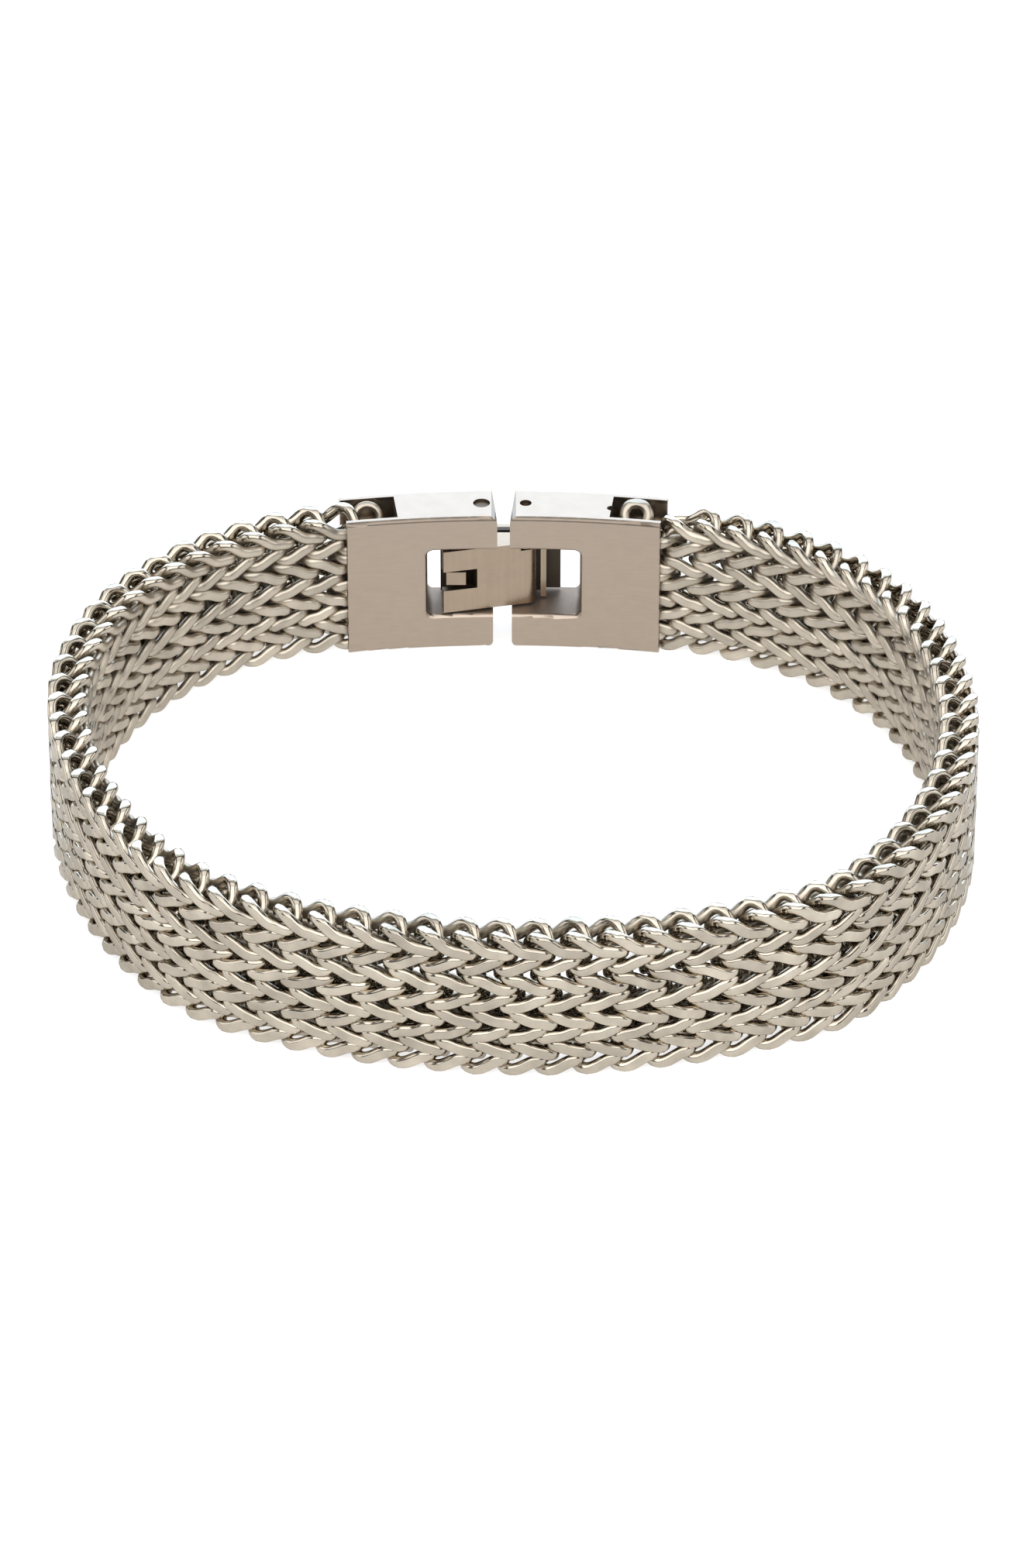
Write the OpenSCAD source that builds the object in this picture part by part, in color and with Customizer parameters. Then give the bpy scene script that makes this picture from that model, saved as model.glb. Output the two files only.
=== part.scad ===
// Wide chain-mesh bracelet, closed into its wrist loop and lying on its lower edge.
// The loop lies in the XY plane, the band's width stands along +Z, and the
// clasp sits at +Y with its wrist side turned towards -Y.
// Units: millimetres. The origin is under the middle of the loop, at the floor.

/* [Band] */
// Width of the band, which stands upright as the bracelet lies on its edge
band_w = 12; // [11.6:0.2:13]
// Thickness of the chain mesh, from its wrist face to its outer face
band_t = 3.1; // [2.8:0.1:3.1]
// Rounding of the mesh at its two long edges
band_edge_r = 0.9; // [0.5:0.1:1.2]

/* [Clasp boxes] */
// Radius of the clasp's curved wrist-side face
clasp_r = 71; // [68:1:76]
// Thickness of the two clasp boxes
clasp_t = 4.4; // [4.4:0.1:4.8]
// Half of the angle that the closed clasp spans
clasp_half = 10; // [9.8:0.1:10.4]
// Gap between the two boxes when the clasp is shut
clasp_gap = 1.0; // [0.8:0.1:1.2]
// Rounding along the long edges of the boxes
box_edge_r = 0.3; // [0.2:0.05:0.4]
// Rounding of the box corners beside the gap
gap_corner_r = 0.6; // [0.4:0.1:0.8]
// Bevel of the outer edges beside the gap, on the lower arms
gap_bevel = 0.5; // [0.3:0.1:0.6]
// How much further the gap opens on the outer side, at each upper arm
gap_flare = 0.45; // [0.3:0.05:0.5]
// How much further back the left box's lower arm ends
left_back = 0.35; // [0.1:0.05:0.35]
// How much further back the right box's lower arm ends
right_back = 0.15; // [0.05:0.05:0.3]
// Thickness of the walls on both sides of the mesh end
wall_t = 0.6; // [0.5:0.05:0.6]
// Distance from the clasp's middle to the floor of the slot for the mesh end
slot_x = 8.55; // [8.4:0.05:8.8]

/* [Clasp window] */
// Height of the opening that the two levers lie in
window_h = 6.0; // [6:0.1:6.4]
// Half of the window's length
window_x = 6.1; // [6:0.1:6.3]
// Rounding of the window's end corners
window_r = 0.5; // [0.3:0.1:0.8]
// Rounding of the window's edges on the wrist side
window_edge = 0.35; // [0.2:0.05:0.4]

/* [Pins] */
// Distance of the hinge pin and of the catch bar from the clasp's middle
pin_x = 1.75; // [1.7:0.05:1.8]
// Depth of both pins below the wrist-side face
pin_depth = 2.3; // [2.25:0.05:2.35]
// Diameter of the hinge pin
hinge_d = 0.9; // [0.8:0.05:0.95]
// Diameter of the catch bar
bar_d = 1.3; // [1.2:0.05:1.3]
// Diameter of the hidden cross pins that hold the mesh ends
end_pin_d = 1.2; // [1:0.1:1.4]

/* [Levers] */
// Height of both levers
lever_h = 5.6; // [5.4:0.1:5.6]
// Thickness of the inner lever's plate
tongue_t = 0.7; // [0.6:0.05:0.75]
// Tilt of the inner lever's plate away from the wrist
tongue_tilt = 12.5; // [12.2:0.1:12.8]
// Distance from the clasp's middle to the free end of the inner lever
tongue_x = 4.95; // [4.8:0.05:5]
// Outer radius of the inner lever's rolled knuckle
knuckle_r = 0.87; // [0.85:0.01:0.88]
// Height of the outer lever's hinge ear
ear_h = 0.55; // [0.5:0.05:0.6]
// Distance from the clasp's middle to the outer lever's free end
cover_x = 5.05; // [4.95:0.05:5.1]
// Distance from the clasp's middle to the tip of the outer lever's thumb edge
tail_x = 4.55; // [4.3:0.05:4.6]
// Distance of the outer lever's wrist side from the clasp's wrist-side face
cover_depth = 3.45; // [3.4:0.05:3.5]

/* [Position] */
// Place of the clasp's middle along X
clasp_x = -0.69; // [-2:0.01:2]
// Place of the clasp's wrist-side face along Y
clasp_y = 27.44; // [26:0.01:29]

/* [Hidden] */
$fn = 96;

// The loop of the band, clockwise from the right box seen from above. Each row
// is [turn in degrees, radius at the middle of the band]. A radius of 0 is
// worked out so that the loop closes.
ROUTE = [
    [25, 27],   // behind the right shoulder
    [35, 24],   // right shoulder
    [30, 37],   // right side
    [30, 34],   // right side, front half
    [25, 13],   // right front corner
    [50, 0],    // broad front
    [30, 20],   // left front corner
    [25, 41],   // left side, front half
    [30, 0],    // left side
    [25, 25],   // left shoulder
    [35, 24]    // behind the left shoulder
];
TURN = 0;
RADIUS = 1;
n_arc = len(ROUTE);

mid_r = clasp_r + clasp_t/2;          // middle of the band inside the clasp
arc_cy = clasp_y - clasp_r;           // centre of the clasp's curve along Y
slot_a = asin(slot_x/mid_r);          // angle at the slot's floor
pin_a = (slot_a + clasp_half)/2;      // angle of the hidden cross pins
end_inset = 0.1;                      // step in from the band to its ends
window_z0 = (band_w - window_h)/2;
lever_z0 = (band_w - lever_h)/2;
run = 0.05;                           // clearance of a knuckle on its pin
fit = 0.02;                           // clearance of a fixed pin in its hole

// Heading at the start of arc i, and the step that a unit radius gives
function turned(i) = i == 0 ? 0 : turned(i - 1) + ROUTE[i - 1][TURN];
function heading(i) = -clasp_half - turned(i);
function unit_step(i) = let (a = heading(i), b = heading(i) - ROUTE[i][TURN])
    [sin(a) - sin(b), cos(b) - cos(a)];

// The two radii left at 0 close the loop
open_arcs = [for (i = [0:n_arc - 1]) if (ROUTE[i][RADIUS] == 0) i];
function known_sum(i, k) = i == n_arc ? 0 :
    ROUTE[i][RADIUS]*unit_step(i)[k] + known_sum(i + 1, k);
need = [-2*mid_r*sin(clasp_half) - known_sum(0, 0), -known_sum(0, 1)];
ua = unit_step(open_arcs[0]);
ub = unit_step(open_arcs[1]);
det = ua[0]*ub[1] - ua[1]*ub[0];
closing = [(need[0]*ub[1] - need[1]*ub[0])/det,
           (ua[0]*need[1] - ua[1]*need[0])/det];
function radius(i) = ROUTE[i][RADIUS] > 0 ? ROUTE[i][RADIUS] :
    i == open_arcs[0] ? closing[0] : closing[1];

// Start point of arc i at the middle of the band
function start_x(i) = i == 0 ? clasp_x + mid_r*sin(clasp_half) :
    start_x(i - 1) + radius(i - 1)*unit_step(i - 1)[0];
function start_y(i) = i == 0 ? arc_cy + mid_r*cos(clasp_half) :
    start_y(i - 1) + radius(i - 1)*unit_step(i - 1)[1];

// ---------------------------------------------------------------- helpers

// A rectangle with round corners, centred in x and standing on y = 0
module round_rect(w, h, r) {
    translate([-w/2 + r, 0]) square([w - 2*r, h]);
    translate([-w/2, r]) square([w, h - 2*r]);
    for (x = [-w/2 + r, w/2 - r], y = [r, h - r])
        translate([x, y]) circle(r);
}

// Part of a ring about the clasp's centre of curvature, between two angles
// counted from +Y towards +X
module clasp_ring(a0, a1) {
    translate([clasp_x, arc_cy, 0]) rotate([0, 0, 90 - a1])
        rotate_extrude(angle = a1 - a0) children();
}

// Everything in the clasp is drawn from its middle, with +Y away from the wrist
module at_clasp() {
    translate([clasp_x, clasp_y, 0]) children();
}

// A rectangle in the XZ plane with round corners on its +X end, drawn
// through the whole thickness of the clasp
module through_tab(x0, x1, z0, z1, r) {
    translate([0, clasp_t + 3, 0]) rotate([90, 0, 0])
        linear_extrude(clasp_t + 8) {
            translate([x0, z0]) square([x1 - x0 - r, z1 - z0]);
            translate([x0, z0 + r]) square([x1 - x0, z1 - z0 - 2*r]);
            for (z = [z0 + r, z1 - r]) translate([x1 - r, z]) circle(r);
        }
}

// ---------------------------------------------------------------- band

module band_profile() {
    round_rect(band_t, band_w, band_edge_r);
}

// One arc of the band, which starts at its own point and heading
module band_arc(i) {
    a = heading(i);
    r = radius(i);
    translate([start_x(i) + r*sin(a), start_y(i) - r*cos(a), 0])
        rotate([0, 0, a + 90 - ROUTE[i][TURN]])
            rotate_extrude(angle = ROUTE[i][TURN])
                translate([r, 0]) band_profile();
}

// The mesh's end inside a box, side 1 right and -1 left: a straight stub, a
// little thinner than the band, from the slot's floor to inside the band
module band_end(side) {
    length = mid_r*(clasp_half - slot_a)*PI/180;
    translate([clasp_x, arc_cy, end_inset]) rotate([0, 0, -side*pin_a])
        translate([side*(-length/2 + 0.15), mid_r, 0]) rotate([90, 0, side*90])
            linear_extrude(length + 0.5)
                round_rect(band_t - 2*end_inset, band_w - 2*end_inset, band_edge_r);
}

// The chain mesh: a flat strap all the way round, with its two ends inside
// the boxes
module mesh_band() {
    color([0.60, 0.57, 0.53])
    difference() {
        union() {
            for (i = [0:n_arc - 1]) band_arc(i);
            band_end(1);
            band_end(-1);
        }
        end_pin(1, end_pin_d/2 + fit, 0);
        end_pin(-1, end_pin_d/2 + fit, 0);
    }
}

// ---------------------------------------------------------------- boxes

// A cross pin through one mesh end, side 1 right and -1 left. It reaches
// halfway into both walls of the box, less the given shortening.
module end_pin(side, r, shorter) {
    translate([clasp_x, arc_cy, band_w/2]) rotate([0, 0, -side*pin_a])
        translate([0, clasp_r + wall_t/2 + shorter, 0]) rotate([-90, 0, 0])
            cylinder(h = clasp_t - wall_t - 2*shorter, r = r);
}

// What is left of a square edge of radius r once it is rounded: the corner at
// the origin, with the solid towards +X and +Y
module edge_waste(r) {
    difference() {
        translate([-0.3, -0.3]) square(r + 0.3);
        translate([r, r]) circle(r);
    }
}

// What the rounding takes off the window's wrist-side edges, for the right box
module window_rounding() {
    r = window_edge;
    cx = window_x - window_r;
    z0 = window_z0;
    z1 = window_z0 + window_h;
    face = -window_x*window_x/(2*clasp_r);
    at_clasp() {
        // upright edge at the window's end
        translate([window_x, face, z0 + window_r - 0.08])
            linear_extrude(window_h - 2*window_r + 0.16) edge_waste(r);
        // its two round corners
        translate([cx, face, z0 + window_r]) rotate([-90, 0, 0])
            rotate_extrude(angle = 90) translate([window_r, 0]) edge_waste(r - 0.03);
        translate([cx, face, z1 - window_r]) rotate([-90, 0, 0]) rotate([0, 0, -90])
            rotate_extrude(angle = 90) translate([window_r, 0]) edge_waste(r - 0.03);
    }
    // edges below and above the window
    end_a = asin((cx + 0.08)/clasp_r);
    clasp_ring(0, end_a) translate([clasp_r, z0]) mirror([0, 1]) edge_waste(r);
    clasp_ring(0, end_a) translate([clasp_r, z1]) edge_waste(r);
}

// One box, side 1 right and -1 left, with the window cut open to the gap. The
// lower arm ends a little further back than the upper one.
module clasp_box(side, pin_r, back) {
    lo = side > 0 ? 0 : -clasp_half;
    hi = side > 0 ? clasp_half : 0;
    difference() {
        intersection() {
            clasp_ring(lo, hi) translate([mid_r, 0])
                round_rect(clasp_t, band_w, box_edge_r);
            at_clasp() mirror([side > 0 ? 1 : 0, 0, 0]) union() {
                through_tab(-20, -clasp_gap/2, 4.5, band_w, gap_corner_r);
                through_tab(-20, -clasp_gap/2 - back, 0, 7.5, gap_corner_r);
            }
        }
        // window
        at_clasp() mirror([side > 0 ? 0 : 1, 0, 0])
            through_tab(-1, window_x, window_z0, window_z0 + window_h, window_r);
        // round edges of the window, on the wrist side
        translate([clasp_x, 0, 0]) mirror([side > 0 ? 0 : 1, 0, 0])
            translate([-clasp_x, 0, 0]) window_rounding();
        // the upper arm's end leans away from the gap
        at_clasp() mirror([side > 0 ? 0 : 1, 0, 0]) translate([0, 0, band_w/2])
            linear_extrude(band_w)
                polygon([[-1, -1], [clasp_gap/2, -1], [clasp_gap/2, 0],
                         [clasp_gap/2 + gap_flare, clasp_t],
                         [clasp_gap/2 + gap_flare, clasp_t + 1], [-1, clasp_t + 1]]);
        // bevel at the lower arm's end, on the outer side
        at_clasp() mirror([side > 0 ? 0 : 1, 0, 0])
            translate([clasp_gap/2 + back, clasp_t, -1]) rotate([0, 0, 45])
                translate([-gap_bevel*0.7071, -gap_bevel*0.7071, 0])
                    cube([gap_bevel*1.4142, gap_bevel*1.4142, band_w/2]);
        // slot for the mesh end, open at the top, the bottom and the outer end
        clasp_ring(side > 0 ? slot_a : -clasp_half - 1, side > 0 ? clasp_half + 1 : -slot_a)
            translate([clasp_r + wall_t, -1]) square([clasp_t - 2*wall_t, band_w + 2]);
        // blind holes of the cross pin
        end_pin(side, end_pin_d/2 + fit, 0);
        // hole of the hinge pin or of the catch bar
        at_clasp() translate([side*pin_x, pin_depth, -1])
            cylinder(h = band_w + 2, r = pin_r + fit);
    }
}

module left_box() {
    color([0.62, 0.57, 0.51]) clasp_box(-1, bar_d/2, left_back);
}

// The right box has a small round groove in its slot's floor
module right_box() {
    color([0.62, 0.57, 0.51])
    difference() {
        clasp_box(1, hinge_d/2, right_back);
        translate([clasp_x, arc_cy, -1]) rotate([0, 0, -slot_a])
            translate([0, mid_r - 0.2, 0]) cylinder(h = band_w + 2, r = 0.35);
    }
}

// ---------------------------------------------------------------- pins

module catch_bar() {
    color([0.52, 0.48, 0.44])
    at_clasp() translate([-pin_x, pin_depth, 0.2])
        cylinder(h = band_w - 0.4, r = bar_d/2);
}

module hinge_pin() {
    color([0.45, 0.42, 0.40])
    at_clasp() translate([pin_x, pin_depth, 0.4])
        cylinder(h = band_w - 0.8, r = hinge_d/2);
}

module left_end_pin() {
    color([0.45, 0.42, 0.40]) end_pin(-1, end_pin_d/2, 0.02);
}

module right_end_pin() {
    color([0.45, 0.42, 0.40]) end_pin(1, end_pin_d/2, 0.02);
}

// ---------------------------------------------------------------- levers

slot_z = [5.2, 6.95];                 // height range of the cut in the inner lever
hook_x = [-4.55, -3.0];               // length range of the outer lever's hook
hook_z = [5.7, 6.85];                 // height range of the hook
block_x = [-0.7, 0.6];                // length range of the inner lever's spacer
block_depth = 3.1;                    // depth that the spacer reaches
ear_gap = 0.1;                        // play between an ear and the knuckle

// Inner lever: a tilted plate whose right end is rolled round the hinge pin.
// It swings towards the wrist.
module clasp_tongue() {
    plate_l = (tongue_x + pin_x)/cos(tongue_tilt);
    ear_r = knuckle_r + 0.18;
    color([0.63, 0.58, 0.52])
    at_clasp() difference() {
        union() {
            // plate, with its wrist side tangent to the knuckle
            translate([pin_x, pin_depth, lever_z0]) rotate([0, 0, tongue_tilt])
                translate([-plate_l, -knuckle_r, 0])
                    cube([plate_l, tongue_t, lever_h]);
            // knuckle below the outer lever's ear
            translate([pin_x, pin_depth, lever_z0])
                cylinder(h = lever_h, r = knuckle_r);
            // spacer behind the plate
            translate([block_x[0], pin_depth - 0.9, lever_z0])
                cube([block_x[1] - block_x[0], block_depth - pin_depth + 0.9, lever_h]);
        }
        // bore for the hinge pin
        translate([pin_x, pin_depth, 0])
            cylinder(h = band_w, r = hinge_d/2 + run);
        // room for the ear
        translate([pin_x, pin_depth, lever_z0 + lever_h - ear_h - ear_gap])
            cylinder(h = 1 + ear_h + ear_gap, r = ear_r);
        // cut for the hook, open at the free end
        translate([-tongue_x - 1, -2, slot_z[0]])
            cube([tongue_x + 1 - 2.1, 4, slot_z[1] - slot_z[0]]);
    }
}

// Outer lever: a cover flush with the outer faces, with an ear on the hinge
// pin, a hook that reaches past the catch bar and a thumb edge on the right.
// It swings away from the wrist.
module clasp_cover() {
    heel_x = [2.95, 3.4];
    color([0.60, 0.57, 0.53])
    difference() {
        union() {
            // cover and thumb edge, cut from the clasp's own curve
            intersection() {
                translate([clasp_x, arc_cy, lever_z0])
                    cylinder(h = lever_h, r = clasp_r + clasp_t, $fn = 360);
                at_clasp() union() {
                    translate([-cover_x, cover_depth, lever_z0])
                        cube([cover_x + heel_x[1], 3, lever_h]);
                    translate([0, cover_depth + 0.4, lever_z0])
                        cube([tail_x, 3, lever_h]);
                }
            }
            at_clasp() {
                // heel beside the knuckle
                translate([heel_x[0], 2.5, lever_z0])
                    cube([heel_x[1] - heel_x[0], cover_depth - 2.5 + 0.2, lever_h]);
                // ear
                translate([0, 0, lever_z0 + lever_h - ear_h]) {
                    translate([pin_x, pin_depth, 0]) cylinder(h = ear_h, r = knuckle_r);
                    translate([pin_x - knuckle_r, pin_depth, 0])
                        cube([2*knuckle_r, cover_depth - pin_depth + 0.2, ear_h]);
                    translate([pin_x, 2.5, 0])
                        cube([heel_x[1] - pin_x, cover_depth - 2.5 + 0.2, ear_h]);
                }
                // hook
                translate([hook_x[0], 0.15, hook_z[0]])
                    cube([hook_x[1] - hook_x[0], cover_depth + 0.05, hook_z[1] - hook_z[0]]);
            }
        }
        // bore of the ear
        at_clasp() translate([pin_x, pin_depth, 0])
            cylinder(h = band_w, r = hinge_d/2 + run);
    }
}

mesh_band();
left_box();
right_box();
catch_bar();
hinge_pin();
left_end_pin();
right_end_pin();
clasp_tongue();
clasp_cover();
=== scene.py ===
import math
import bmesh
import bpy
import numpy as np
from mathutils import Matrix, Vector


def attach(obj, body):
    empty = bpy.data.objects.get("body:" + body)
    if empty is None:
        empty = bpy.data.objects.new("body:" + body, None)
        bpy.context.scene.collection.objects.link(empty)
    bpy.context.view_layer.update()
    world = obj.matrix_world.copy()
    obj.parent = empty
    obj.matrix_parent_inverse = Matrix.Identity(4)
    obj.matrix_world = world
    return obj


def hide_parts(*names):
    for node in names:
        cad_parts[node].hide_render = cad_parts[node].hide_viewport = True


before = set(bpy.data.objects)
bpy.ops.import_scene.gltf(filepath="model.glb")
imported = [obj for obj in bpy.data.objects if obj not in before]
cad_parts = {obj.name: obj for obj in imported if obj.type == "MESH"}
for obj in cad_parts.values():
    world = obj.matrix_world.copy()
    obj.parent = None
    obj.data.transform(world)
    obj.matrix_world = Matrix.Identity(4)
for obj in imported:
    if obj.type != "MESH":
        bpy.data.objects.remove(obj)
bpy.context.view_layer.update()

MM = 0.001
rng = np.random.default_rng(7)

# ------------------------------------------------------------------ camera
# The photograph's view: 33 degrees above the floor, square on to the clasp,
# from 55 cm with a long lens.
scene = bpy.context.scene
cam_data = bpy.data.cameras.new("camera")
cam = bpy.data.objects.new("camera", cam_data)
scene.collection.objects.link(cam)
cam_data.sensor_width = 36.0
cam_data.lens = 9332 / 2024 * 36.0
cam_data.clip_start, cam_data.clip_end = 0.01, 20
elev = math.radians(33)
aim = Vector((-0.065, -1.943, 6.0)) * MM
cam.location = aim + 550 * MM * Vector((0, -math.cos(elev), math.sin(elev)))
cam.rotation_euler = (math.radians(90) - elev, 0, 0)
scene.camera = cam

# ------------------------------------------------------------------ route
# The middle line of the band, clockwise from the right box seen from above:
# [turn in degrees, radius in mm], as in the CAD source.
ROUTE = [(25, 27), (35, 24), (30, 37), (30, 34), (25, 13), (50, 47.357),
         (30, 20), (25, 41), (30, 30.129), (25, 25), (35, 24)]
CLASP_X, CLASP_Y = -0.69, 27.44
FACE_R, BOX_T, HALF = 71.0, 4.4, math.radians(10)
MID_R = FACE_R + BOX_T / 2
ARC_CY = CLASP_Y - FACE_R
BAND_W, BAND_T = 12.0, 3.1
PIN_A = (math.asin(8.55 / MID_R) + HALF) / 2

arcs = []          # (length before, radius, centre x, centre y, heading)
_x, _y = CLASP_X + MID_R * math.sin(HALF), ARC_CY + MID_R * math.cos(HALF)
_h, _l = -HALF, 0.0
for turn, r in ROUTE:
    cx, cy = _x + r * math.sin(_h), _y - r * math.cos(_h)
    arcs.append((_l, r, cx, cy, _h))
    a = math.radians(turn)
    _l += r * a
    _h -= a
    _x, _y = cx - r * math.sin(_h), cy + r * math.cos(_h)
RUN = _l                                   # length outside the boxes
IN_BOX = (HALF - PIN_A) * MID_R            # from a box's end to its pin
SPAN = RUN + 2 * IN_BOX                    # from pin to pin
starts = np.array([a[0] for a in arcs])


def place(s, w, t):
    """Band coordinates in mm (s anticlockwise from the left pin, w up from the
    middle of the width, t outwards) to world coordinates in metres."""
    run = RUN + IN_BOX - s
    i = np.clip(np.searchsorted(starts, run, side="right") - 1, 0, len(arcs) - 1)
    a = np.array([(b[0], b[1], b[2], b[3], b[4]) for b in arcs])[i]
    h = a[:, 4] - (run - a[:, 0]) / a[:, 1]
    r, cx, cy = a[:, 1], a[:, 2], a[:, 3]
    for inside, h0, l0 in ((run < 0, -HALF, 0.0), (run > RUN, _h, RUN)):
        h = np.where(inside, h0 - (run - l0) / MID_R, h)
        r = np.where(inside, MID_R, r)
        cx = np.where(inside, CLASP_X, cx)
        cy = np.where(inside, ARC_CY, cy)
    x = cx - (r + t) * np.sin(h)
    y = cy + (r + t) * np.cos(h)
    return np.stack([x, y, w + BAND_W / 2], 1) * MM


# ------------------------------------------------------------------ weave
PITCH = 2.68
COLS = 8
WIRE_R = 0.42
SETTLE_R = 0.40                 # the wires bear on each other a little
WIDEN = 0.16                    # how much broader the wire is on the outside
LEG_T = 1.25                    # most that a wire's middle stands out
# the middle of each column in the width, and how far it is shifted along
CENTRE = [4.66, 3.46, 1.89, .11, -1.31, -2.61, -3.74, -5.24]
SHIFT = [-.5, -.43, -.12, .1, -.08, .2, -.15, -.05]
# Half a link as first bent, seen from outside: (along, up, outwards). The
# other half is the same turned round the upright line through its middle.
TOP = [(-1.75, .92, .62), (-1.35, 1.10, 1.0), (-.8, .78, 1.25), (-.1, .15, 1.32),
       (.7, -.36, 1.32), (1.4, -.64, 1.2), (1.95, -.52, .7), (2.1, .05, .12)]
DOWN = [(-1.42, .70, .90), (-.9, .52, 1.22), (0, 0, 1.32), (.85, -.52, 1.32),
        (1.38, -.76, 1.15), (1.85, -.56, .70), (2.0, 0, .12), (1.85, .50, -.45)]
UP = [(-1.42, .66, .92), (-.9, .48, 1.24), (0, .02, 1.32), (.85, -.48, 1.32),
      (1.38, -.70, 1.15), (1.85, -.52, .70), (2.0, 0, .12), (1.85, .46, -.45)]
LAST = [(-1.42, .85, .90), (-.9, .62, 1.22), (-.2, .15, 1.32), (.5, -.27, 1.32),
        (1.1, -.50, 1.25), (1.7, -.48, .85), (2.0, -.05, .2), (1.88, .50, -.45)]
WRIST = 0.99                   # how far the wires reach on the wrist side
# The round end links of the first column, left and right: radius, wire, where
# their middle is (along, up, outwards) and their lean. Their top is on the
# outer side, and they are ground flat with the boxes' edges.
RINGS_AT = [(1.0, 0.34, -1.0, 4.70, 0.80, math.radians(65)),
            (0.94, 0.46, 1.30, 5.00, 0.60, math.radians(52))]
BENT = [TOP, UP, DOWN, UP, DOWN, UP, DOWN, LAST]


def smooth(k, n):
    """n points on a closed Catmull-Rom curve through the points k."""
    k = np.asarray(k, float)
    m = len(k)
    u = np.arange(n) * m / n
    j = u.astype(int)
    f = (u - j)[:, None]
    p0, p1, p2, p3 = k[(j - 1) % m], k[j % m], k[(j + 1) % m], k[(j + 2) % m]
    return .5 * ((2 * p1) + (-p0 + p2) * f + (2 * p0 - 5 * p1 + 4 * p2 - p3) * f * f
                 + (-p0 + 3 * p1 - 3 * p2 + p3) * f ** 3)


def weave(rings, steps):
    """The middle lines of one link of each column, settled against each other:
    every wire pushes its neighbours a wire's diameter away while it stays as
    straight as it can. Columns by rings by (along, up, outwards)."""
    X = np.zeros((COLS, rings, 3))
    for j in range(COLS):
        whole = BENT[j] + [(-a, b, -c) for a, b, c in BENT[j]]
        X[j] = smooth(whole, rings) * ((1, 1, 1) if j % 2 == 0 else (-1, 1, 1))
        X[j][:, 0] += SHIFT[j]
        X[j][:, 1] += CENTRE[j]
    first, V, dia = X.copy(), np.zeros_like(X), 2 * SETTLE_R
    leg = np.abs(first[:, :, 2]) > 1.15
    idx = np.arange(rings)
    ring = np.abs(idx[:, None] - idx[None])
    far = np.minimum(ring, rings - ring) >= rings * 7 // 40
    near = {}
    for j in range(COLS):
        for k in (j - 1, j, j + 1):
            if 0 <= k < COLS:
                near[j, k] = [q for q in (-2, -1, 0, 1, 2)
                              if abs(SHIFT[k] + q * PITCH - SHIFT[j]) < 5.4]
    for it in range(steps):
        f = min(1, it / steps * 1.3)
        hold, push = 0.20 ** f, 6 + 34 * f
        F = np.zeros_like(X)
        nxt, prv = np.roll(X, -1, 1), np.roll(X, 1, 1)
        bend = nxt - 2 * X + prv
        F -= 0.8 * (np.roll(bend, -1, 1) - 2 * bend + np.roll(bend, 1, 1))
        d = nxt - X
        length = np.linalg.norm(d, axis=2)
        mean = length.mean(1, keepdims=True)
        g = ((length - mean) / length)[:, :, None] * d * 6
        F += g - np.roll(g, 1, 1)
        for (j, k), qs in near.items():
            Y = np.concatenate([X[k] + [q * PITCH, 0, 0] for q in qs])
            df = X[j][:, None] - Y[None]
            dist = np.sqrt((df ** 2).sum(-1)) + 1e-9
            pen = np.clip(dia - dist, 0, None)
            if j == k:
                a = qs.index(0) * rings
                pen[:, a:a + rings] *= far
            F[j] += push * ((pen / dist)[:, :, None] * df).sum(1)
        t, w = X[:, :, 2], X[:, :, 1]
        F[:, :, 2] -= 30 * np.clip(np.abs(t) - LEG_T, 0, None) * np.sign(t)
        F[:, :, 2] += 1.0 * leg * (LEG_T * np.sign(t) - t)
        F[:, :, 1] -= 20 * (np.clip(w - 5.78, 0, None) + np.clip(w + 5.73, None, 0))
        F -= hold * (X - first)
        V = V * .85 + F * .02 / (1 + push * .05)
        X = X + np.clip(V, -.03, .03)
        # each link looks the same from both faces
        M = np.roll(X, rings // 2, 1).copy()
        M[:, :, 0] = 2 * np.array(SHIFT)[:, None] - M[:, :, 0]
        M[:, :, 2] *= -1
        X = (X + M) / 2
    return X


def round_pin(line, pin, height, radius=1.17):
    """The link line with its end carried round the middle of a mesh end, which
    is at the local position pin along, at the given height."""
    side = 1 if pin > 0 else -1
    out = line.copy()
    n = len(line)
    beyond = (line[:, 0] - pin) * side > 0
    f = np.clip(1 - (pin - line[:, 0]) * side / 1.9, 0, 1)
    f = f * f * (3 - 2 * f)
    out[:, 1] += f * (height - out[:, 1])
    out[:, 2] += f * (radius * np.sign(out[:, 2]) - out[:, 2])
    if not beyond.any():
        k = int(np.argmax(line[:, 0] * side))
        beyond = np.isin(np.arange(n), [(k + d) % n for d in (-2, -1, 0, 1, 2)])
    first = next(i for i in range(n) if beyond[i] and not beyond[i - 1])
    m = 0
    while beyond[(first + m) % n]:
        m += 1
    t0 = line[first - 1, 2]
    for q in range(m):
        a = math.pi * (q + .5) / m
        t = radius * math.cos(a) * (1 if t0 > 0 else -1)
        out[(first + q) % n] = (pin + side * radius * math.sin(a), height, t)
    return out


# Angles round a wire, counted from the direction away from the link's middle,
# closer together where the ground faces end
LEG_ANGLES = [0, 26, 45, 54, 63, 82, 106, 130, 155, 180,
              205, 230, 254, 278, 297, 306, 315, 334]
EDGE_ANGLES = [18 * k for k in range(20)]


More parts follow.
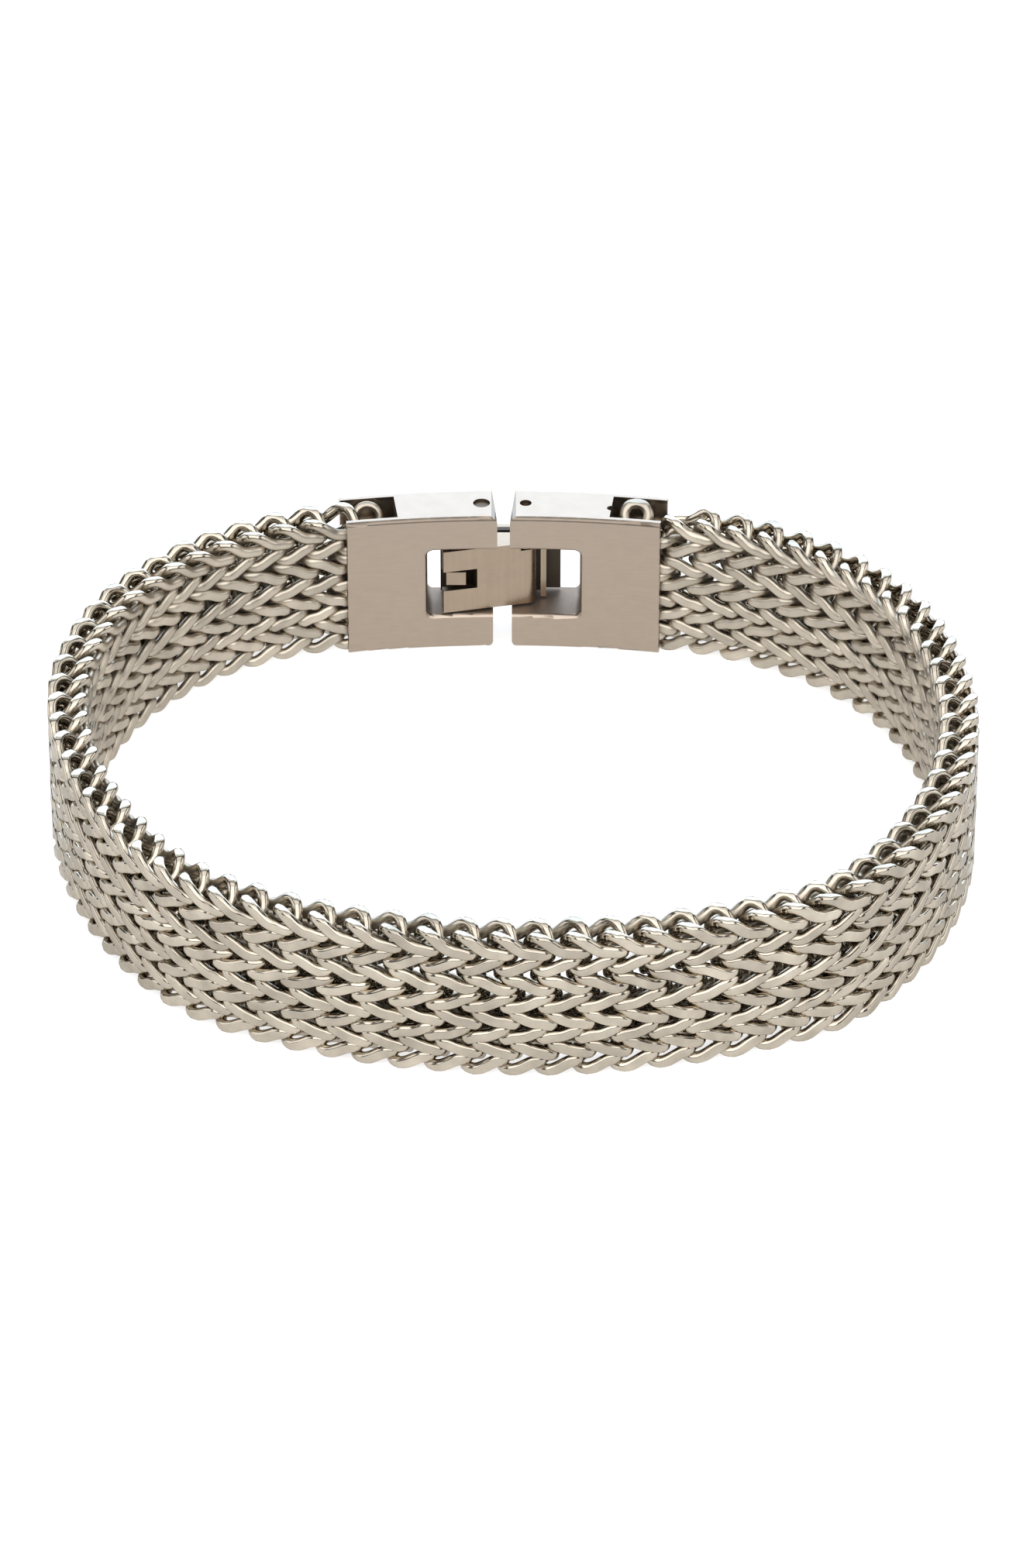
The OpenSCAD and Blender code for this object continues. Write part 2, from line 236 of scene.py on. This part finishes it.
def ground_link(line, angles, planes, wire=WIRE_R, widen=WIDEN):
    """A wire round the closed line, ground flat by the planes: what stands
    past a plane is pressed back on to it. Gives vertices and faces."""
    n, m = len(line), len(angles)
    tan = np.roll(line, -1, 0) - np.roll(line, 1, 0)
    tan /= np.linalg.norm(tan, axis=1)[:, None]
    e1 = np.cross(tan, np.array([[0, 1.0, 0]]))
    e1 /= np.linalg.norm(e1, axis=1)[:, None]
    e2 = np.cross(tan, e1)
    q = np.radians(np.array(angles))[None, :, None]
    # the wire is pressed broader on both sides, most on the outside
    broad = (1 + widen * np.clip(np.where(line[:, 2] > 0, 1, -0.7) * line[:, 2] / 1.1,
                                 0, 1))[:, None, None]
    V = line[:, None] + wire * (np.cos(q) * e1[:, None] + np.sin(q) * e2[:, None] * broad)
    V = V.reshape(-1, 3)
    for co, no in planes:
        co, no = np.array(co, float), np.array(no, float)
        no /= np.linalg.norm(no)
        past = np.clip((V - co) @ no, 0, None)
        V = V - past[:, None] * no
    i = np.repeat(np.arange(n), m)
    k = np.tile(np.arange(m), n)
    i2, k2 = (i + 1) % n, (k + 1) % m
    F = np.stack([i * m + k, i * m + k2, i2 * m + k2, i2 * m + k], 1)
    return V, F


def make_mesh(name, V, F, wrist, tone):
    """A mesh object whose vertices also carry how much they belong to the less
    polished wrist side, and the tone of their link."""
    me = bpy.data.meshes.new(name)
    me.vertices.add(len(V))
    me.vertices.foreach_set("co", V.ravel())
    me.loops.add(F.size)
    me.loops.foreach_set("vertex_index", F.ravel())
    me.polygons.add(len(F))
    me.polygons.foreach_set("loop_start", np.arange(len(F)) * 4)
    me.update(calc_edges=True)
    for label, values in (("wrist_side", wrist), ("link_tone", tone)):
        me.attributes.new(label, "FLOAT", "POINT").data.foreach_set("value", values)
    me.polygons.foreach_set("use_smooth", [True] * len(F))
    ob = bpy.data.objects.new(name, me)
    scene.collection.objects.link(ob)
    return ob


# ------------------------------------------------------------------ materials
def node_material(name):
    m = bpy.data.materials.new(name)
    m.use_nodes = True
    nt = m.node_tree
    return m, nt, nt.nodes["Principled BSDF"]


def inside_box(nt, lo, hi):
    """A mask that is 1 inside the box lo..hi (mm, in the part's frame)."""
    N, L = nt.nodes.new, nt.links.new
    co = N("ShaderNodeTexCoord")
    sep = N("ShaderNodeSeparateXYZ")
    L(co.outputs["Object"], sep.inputs[0])
    out = None
    for i in range(3):
        for limit, op in ((lo[i], "GREATER_THAN"), (hi[i], "LESS_THAN")):
            if limit is None:
                continue
            m = N("ShaderNodeMath")
            m.operation = op
            m.inputs[1].default_value = limit * MM
            L(sep.outputs[i], m.inputs[0])
            if out is None:
                out = m
            else:
                k = N("ShaderNodeMath")
                k.operation = "MULTIPLY"
                L(out.outputs[0], k.inputs[0])
                L(m.outputs[0], k.inputs[1])
                out = k
    return out.outputs[0]


def steel(name, base, rough, var=0.04, rough_var=0.08, noise=900.0, bump=0.02, brushed=None,
          wave=700.0, depth=3e-5, dull=None, dull_shade_base=None, dull_rough=0.25, links=False,
          shaded_edge=None, shaded_edge_base=None):
    """Steel whose tone and roughness vary, with a fine grain and a gentle
    wave. Inside the box dull it is left rough, with its colour darkened as
    painted shade, and inside the edge box it only gets a darker colour, which
    is painted shade. On links each has its own tone, and the wrist side is
    polished less."""
    m, nt, bsdf = node_material(name)
    N, L = nt.nodes.new, nt.links.new
    bsdf.inputs["Metallic"].default_value = 1.0
    co = N("ShaderNodeTexCoord")
    n1 = N("ShaderNodeTexNoise")
    n1.inputs["Scale"].default_value = noise
    n1.inputs["Detail"].default_value = 3
    L(co.outputs["Object"], n1.inputs["Vector"])

    def tones(colour):
        ramp = N("ShaderNodeValToRGB")
        ramp.color_ramp.elements[0].position = 0.3
        ramp.color_ramp.elements[1].position = 0.75
        ramp.color_ramp.elements[0].color = (*[c * (1 - var) for c in colour], 1)
        ramp.color_ramp.elements[1].color = (*[min(1, c * (1 + var)) for c in colour], 1)
        return ramp.outputs["Color"], ramp

    colour, ramp = tones(base)
    grain = None
    if brushed is not None:        # fine streaks also tint the steel
        mp = N("ShaderNodeMapping")
        mp.inputs["Scale"].default_value = brushed
        L(co.outputs["Object"], mp.inputs["Vector"])
        grain = N("ShaderNodeTexNoise")
        grain.inputs["Scale"].default_value = 1.0
        grain.inputs["Detail"].default_value = 2
        L(mp.outputs["Vector"], grain.inputs["Vector"])
        both = N("ShaderNodeMath")
        both.operation = "MULTIPLY_ADD"
        both.inputs[1].default_value = 0.5
        half = N("ShaderNodeMath")
        half.operation = "MULTIPLY"
        half.inputs[1].default_value = 0.5
        L(n1.outputs["Fac"], half.inputs[0])
        L(grain.outputs["Fac"], both.inputs[0])
        L(half.outputs[0], both.inputs[2])
        L(both.outputs[0], ramp.inputs["Fac"])
    else:
        L(n1.outputs["Fac"], ramp.inputs["Fac"])
    mr = N("ShaderNodeMapRange")
    mr.inputs["From Min"].default_value = 0.3
    mr.inputs["From Max"].default_value = 0.7
    mr.inputs["To Min"].default_value = rough - rough_var / 2
    mr.inputs["To Max"].default_value = rough + rough_var / 2
    L(n1.outputs["Fac"], mr.inputs["Value"])
    roughness = mr.outputs["Result"]

    def over(mask, below, darker):
        dark, dark_ramp = tones(darker)
        L(n1.outputs["Fac"], dark_ramp.inputs["Fac"])
        mix = N("ShaderNodeMixRGB")
        L(mask, mix.inputs["Fac"])
        L(below, mix.inputs["Color1"])
        L(dark, mix.inputs["Color2"])
        return mix.outputs["Color"]

    # the edge box gets a darker colour: a painted shade along the rounded upper edges of the
    # boxes
    if shaded_edge is not None:
        colour = over(inside_box(nt, *shaded_edge), colour, shaded_edge_base)
    # the dull box is made rougher, and its colour is darkened as painted shade
    if dull is not None:
        mask = inside_box(nt, *dull)
        colour = over(mask, colour, dull_shade_base)
        add = N("ShaderNodeMath")
        add.operation = "MULTIPLY_ADD"
        add.inputs[1].default_value = dull_rough
        L(mask, add.inputs[0])
        L(roughness, add.inputs[2])
        roughness = add.outputs[0]
    if links:
        own = N("ShaderNodeAttribute")
        own.attribute_name = "link_tone"
        scaled = N("ShaderNodeVectorMath")
        scaled.operation = "SCALE"
        L(colour, scaled.inputs[0])
        L(own.outputs["Fac"], scaled.inputs["Scale"])
        colour = scaled.outputs[0]
        side = N("ShaderNodeAttribute")
        side.attribute_name = "wrist_side"
        add = N("ShaderNodeMath")
        add.operation = "MULTIPLY_ADD"
        add.inputs[1].default_value = 0.21
        L(side.outputs["Fac"], add.inputs[0])
        L(roughness, add.inputs[2])
        roughness = add.outputs[0]
        bsdf.inputs["Specular Tint"].default_value = (0.66, 0.65, 0.63, 1)
    L(colour, bsdf.inputs["Base Color"])
    L(roughness, bsdf.inputs["Roughness"])
    n3 = N("ShaderNodeTexNoise")
    n3.inputs["Scale"].default_value = wave
    n3.inputs["Detail"].default_value = 1
    L(co.outputs["Object"], n3.inputs["Vector"])
    b3 = N("ShaderNodeBump")
    b3.inputs["Strength"].default_value = 1.0
    b3.inputs["Distance"].default_value = depth
    L(n3.outputs["Fac"], b3.inputs["Height"])
    if grain is None:
        grain = N("ShaderNodeTexNoise")
        grain.inputs["Scale"].default_value = 6000
        grain.inputs["Detail"].default_value = 2
        L(co.outputs["Object"], grain.inputs["Vector"])
    bp = N("ShaderNodeBump")
    bp.inputs["Strength"].default_value = bump
    bp.inputs["Distance"].default_value = 0.00002
    L(grain.outputs["Fac"], bp.inputs["Height"])
    L(b3.outputs["Normal"], bp.inputs["Normal"])
    L(bp.outputs["Normal"], bsdf.inputs["Normal"])
    return m


mesh_steel = steel("mesh_steel", (0.48, 0.428, 0.355), 0.14, var=0.18, noise=520.0, links=True)
# the walls inside the window are left dull, and their darker colour is painted
# shade; the rounding of the upper edges is painted darker than the faces beside it, a painted
# shade
box_steel = steel("box_steel", (0.387, 0.318, 0.258), 0.32, brushed=(700, 700, 9000), bump=0.05,
                  var=0.06, wave=160.0, depth=1.5e-5,
                  dull=((CLASP_X - 6.13, CLASP_Y + 0.15, 2.97), (CLASP_X + 6.13, None, 9.03)),
                  dull_shade_base=(0.30, 0.238, 0.19),
                  shaded_edge=((None, None, 11.71), (None, None, 11.985)),
                  shaded_edge_base=(0.225, 0.185, 0.15))
# the outer lever's inner side is not polished, and its nearly black colour there is painted shade
cover_steel = steel("cover_steel", (0.34, 0.272, 0.205), 0.3, brushed=(2600, 2600, 120),
                    bump=0.06, var=0.08, wave=200.0, depth=4e-5,
                    dull=((None, CLASP_Y + 3.0, None), (None, CLASP_Y + 3.95, None)),
                    dull_shade_base=(0.085, 0.07, 0.057))
tongue_steel = steel("tongue_steel", (0.36, 0.285, 0.215), 0.3, brushed=(2600, 2600, 120),
                     bump=0.06, var=0.09, wave=200.0, depth=4e-5)
# the pins and the catch bar are painted nearly black: painted shade, for where they sit in shadow
# inside the clasp
pin_steel = steel("pin_steel", (0.13, 0.10, 0.072), 0.45)

# ------------------------------------------------------------------ links
RINGS = 44
lines = [smooth(line, RINGS) for line in weave(40, 700)]
for line in lines:              # the wrist side is ground less than the outside
    line[:, 2] *= np.where(line[:, 2] < 0, WRIST, 1)
lines[0][:, 2] *= np.where(lines[0][:, 2] < 0, 0.93, 1)
count = int(round((SPAN - 2.2) / PITCH)) + 1
pitch = (SPAN - 2.2) / (count - 1)


def planes_for(j, lean=(0, 0), drop=0.0):
    """The faces a link of column j is ground to, the two broad ones leaning a
    little."""
    a, b = lean
    p = [((0, CENTRE[j], BAND_T / 2 - drop), (a, b, 1)),
         ((0, CENTRE[j], -BAND_T / 2 + drop), (a, b, -1))]
    if j == 0:
        p.append(((0, BAND_W / 2, 0), (0, 1, 0)))
    if j == COLS - 1:
        p.append(((0, -BAND_W / 2, 0), (0, -1, 0)))
    return p


for j in range(COLS):
    angles = EDGE_ANGLES if j in (0, COLS - 1) else LEG_ANGLES
    kinds = []
    for v in range(4):
        lean = rng.normal(0, 0.014, 2)
        kinds.append(ground_link(lines[j], angles, planes_for(j, lean, 0.015 * v / 3)))
    if j == 0:                  # one round ring at the top of each mesh end
        q = np.arange(RINGS) * 2 * math.pi / RINGS
        ends = [ground_link(np.stack([at + r * np.cos(q), up + r * math.sin(lean) * np.sin(q),
                                      out + r * math.cos(lean) * np.sin(q)], 1),
                            angles, planes_for(j), wire, 0)
                for r, wire, at, up, out, lean in RINGS_AT]
    else:
        ends = [ground_link(round_pin(lines[j], pin, CENTRE[j]), angles, planes_for(j))
                for pin in (-1.1, 1.1)]
    allV, allF, wrist, tone = [], [], [], []
    for i in range(count):
        at_end = i == 0 or i == count - 1
        V, F = ends[i > 0] if at_end else kinds[int(rng.integers(4))]
        # every link has shifted and tipped a little on its own
        tip = rng.normal(0, 0.014, 3)
        off = rng.normal(0, (0.028, 0.014, 0.006))
        if at_end:
            tip, off = tip * 0, off * 0
        c = np.array([SHIFT[j], CENTRE[j], 0])
        p = V - c
        p = p + np.cross(tip * (1, 1, 1.3), p) + off + c
        p[:, 1] = np.clip(p[:, 1], -BAND_W / 2, BAND_W / 2)
        p[:, 2] = np.clip(p[:, 2], -BAND_T / 2 - .02, BAND_T / 2 + .02)
        s = 1.1 + i * pitch + p[:, 0]
        allV.append(place(s, p[:, 1], p[:, 2]))
        dull = np.clip(0.5 - p[:, 2] / 0.8, 0, 1) * np.clip((5.75 - p[:, 1]) / 0.5, 0, 1)
        wrist.append(dull * 0 + 1 if at_end and j == 0 else dull)
        tone.append(np.full(len(V), np.clip(rng.normal(1, 0.06), .86, 1.12)))
        allF.append(F + i * len(V))
    allF = np.concatenate(allF)
    ob = make_mesh("mesh_column_%d" % (j + 1), np.concatenate(allV), allF,
                   np.concatenate(wrist), np.concatenate(tone))
    ob.data.materials.append(mesh_steel)
    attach(ob, "bracelet")
    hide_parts("mesh_band")
    print("column", j + 1, "links", count, "tris", 2 * len(allF))

# ------------------------------------------------------------------ clasp
for name, mat in (("left_box", box_steel), ("right_box", box_steel),
                  ("catch_bar", pin_steel), ("hinge_pin", pin_steel),
                  ("left_end_pin", pin_steel), ("right_end_pin", pin_steel),
                  ("clasp_tongue", tongue_steel), ("clasp_cover", cover_steel)):
    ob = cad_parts[name]
    ob.data.materials.clear()
    ob.data.materials.append(mat)

# ------------------------------------------------------------------ studio
bm = bmesh.new()
bmesh.ops.create_grid(bm, x_segments=1, y_segments=1, size=1.5)
me = bpy.data.meshes.new("floor")
bm.to_mesh(me)
bm.free()
floor = bpy.data.objects.new("floor", me)
scene.collection.objects.link(floor)
fm, nt, bsdf = node_material("floor")
bsdf.inputs["Base Color"].default_value = (0.36, 0.36, 0.358, 1)
bsdf.inputs["Roughness"].default_value = 0.8
bsdf.inputs["Specular IOR Level"].default_value = 0.1
bsdf.inputs["Emission Color"].default_value = (1, 0.995, 0.985, 1)
bsdf.inputs["Emission Strength"].default_value = 0.76
me.materials.append(fm)

world = bpy.data.worlds.new("world")
scene.world = world
world.use_nodes = True
world.node_tree.nodes["Background"].inputs["Color"].default_value = (1, 0.99, 0.975, 1)
world.node_tree.nodes["Background"].inputs["Strength"].default_value = 0.12


def softbox(name, loc, size, power, to=(0, 0, 0), colour=(1, 1, 1)):
    li = bpy.data.lights.new(name, "AREA")
    li.shape = "RECTANGLE"
    li.size, li.size_y = size
    li.energy = power
    li.color = colour
    ob = bpy.data.objects.new(name, li)
    scene.collection.objects.link(ob)
    ob.location = loc
    ob.rotation_euler = (Vector(to) - Vector(loc)).to_track_quat("-Z", "Y").to_euler()
    return ob


softbox("back_wall", (0, 0.95, 0.40), (1.8, 0.8), 15.9, to=(0, 0, 0.2), colour=(0.68, 0.825, 1.0))
softbox("left_wall", (-0.9, -0.1, 0.35), (0.9, 0.6), 2.6, to=(0, 0, 0.1))
softbox("right_wall", (0.9, -0.1, 0.35), (0.9, 0.6), 2.6, to=(0, 0, 0.1))
softbox("front_wall", (0, -0.95, 0.75), (1.7, 1.3), 16.0, to=(0, 0, 0))
softbox("back_high", (0, 0.77, 0.92), (1.8, 0.42), 2.9, to=(0, 0, 0), colour=(0.86, 0.95, 1.0))
softbox("ceiling", (0, -0.06, 1.2), (1.7, 0.95), 7.5, to=(0, 0, 0))
scene.view_settings.view_transform = "Standard"
scene.view_settings.look = "None"
scene.view_settings.exposure = 0.0
